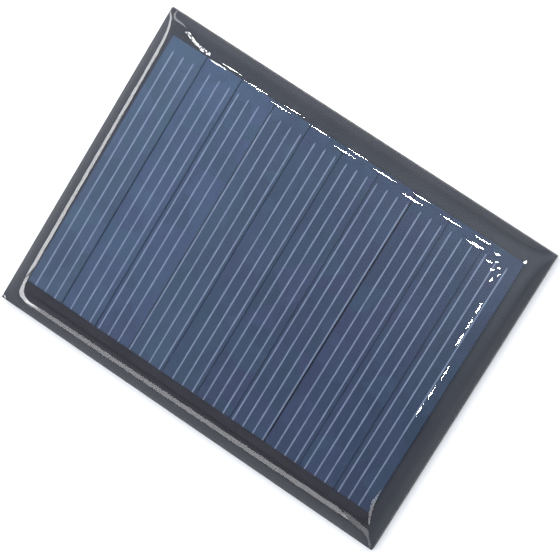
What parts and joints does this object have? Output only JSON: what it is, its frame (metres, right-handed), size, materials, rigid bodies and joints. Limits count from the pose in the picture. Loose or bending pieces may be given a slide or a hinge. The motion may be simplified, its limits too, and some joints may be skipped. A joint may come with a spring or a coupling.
{
  "type": "mini solar panel",
  "caption": "Small rectangular solar panel: a row of narrow polycrystalline cell strips on a black circuit board, sealed under a clear domed resin casting, with solder pads on its flat back.",
  "frame": {"origin": "middle of the flat back face of the board, the lowest plane of the panel", "axes": "+X along the 80 mm side towards the negative end, +Y along the 60 mm side away from the soldered ends of the cells, +Z out of the sun-facing side"},
  "size_m": [0.08, 0.06, 0.003],
  "materials": {
    "solder_mask": "black solder mask lacquer, semi-gloss",
    "tinned_pad": "bright solder, slightly dimpled",
    "copper": "bare copper foil, satin",
    "legend_ink": "white screen-printed ink, matte",
    "laminate": "sawn glass-epoxy laminate, matte",
    "bonding_film": "dark bonding film, matte",
    "rear_contact": "fired aluminium paste, matte",
    "silicon": "blue coated polycrystalline silicon, satin",
    "silver_print": "fired silver paste, matte",
    "ribbon": "tinned copper ribbon, bright",
    "cover_strip": "black polyester strip, satin",
    "resin": "clear cast epoxy resin, high gloss"
  },
  "bodies": {
    "root": {"rear_solder_mask": "solder_mask", "rear_pad_positive": "tinned_pad", "rear_pad_negative": "tinned_pad", "rear_trace_positive": "copper", "rear_trace_negative": "copper", "plus_mark": "legend_ink", "minus_mark": "legend_ink", "board_laminate": "laminate", "via_positive": "copper", "via_negative": "copper", "front_land_positive": "copper", "front_land_negative": "copper", "front_solder_mask": "solder_mask", "cell_bonding_film": "bonding_film", "rear_contact_01": "rear_contact", "rear_contact_02": "rear_contact", "rear_contact_03": "rear_contact", "rear_contact_04": "rear_contact", "rear_contact_05": "rear_contact", "rear_contact_06": "rear_contact", "rear_contact_07": "rear_contact", "rear_contact_08": "rear_contact", "rear_contact_09": "rear_contact", "rear_contact_10": "rear_contact", "cell_01": "silicon", "cell_02": "silicon", "cell_03": "silicon", "cell_04": "silicon", "cell_05": "silicon", "cell_06": "silicon", "cell_07": "silicon", "cell_08": "silicon", "cell_09": "silicon", "cell_10": "silicon", "finger_grid_01": "silver_print", "finger_grid_02": "silver_print", "finger_grid_03": "silver_print", "finger_grid_04": "silver_print", "finger_grid_05": "silver_print", "finger_grid_06": "silver_print", "finger_grid_07": "silver_print", "finger_grid_08": "silver_print", "finger_grid_09": "silver_print", "finger_grid_10": "silver_print", "interconnect_ribbon_01": "ribbon", "interconnect_ribbon_02": "ribbon", "interconnect_ribbon_03": "ribbon", "interconnect_ribbon_04": "ribbon", "interconnect_ribbon_05": "ribbon", "interconnect_ribbon_06": "ribbon", "interconnect_ribbon_07": "ribbon", "interconnect_ribbon_08": "ribbon", "interconnect_ribbon_09": "ribbon", "positive_end_ribbon": "ribbon", "negative_end_ribbon": "ribbon", "busbar_cover_strip": "cover_strip", "resin_cover": "resin"}
  },
  "joints": []
}
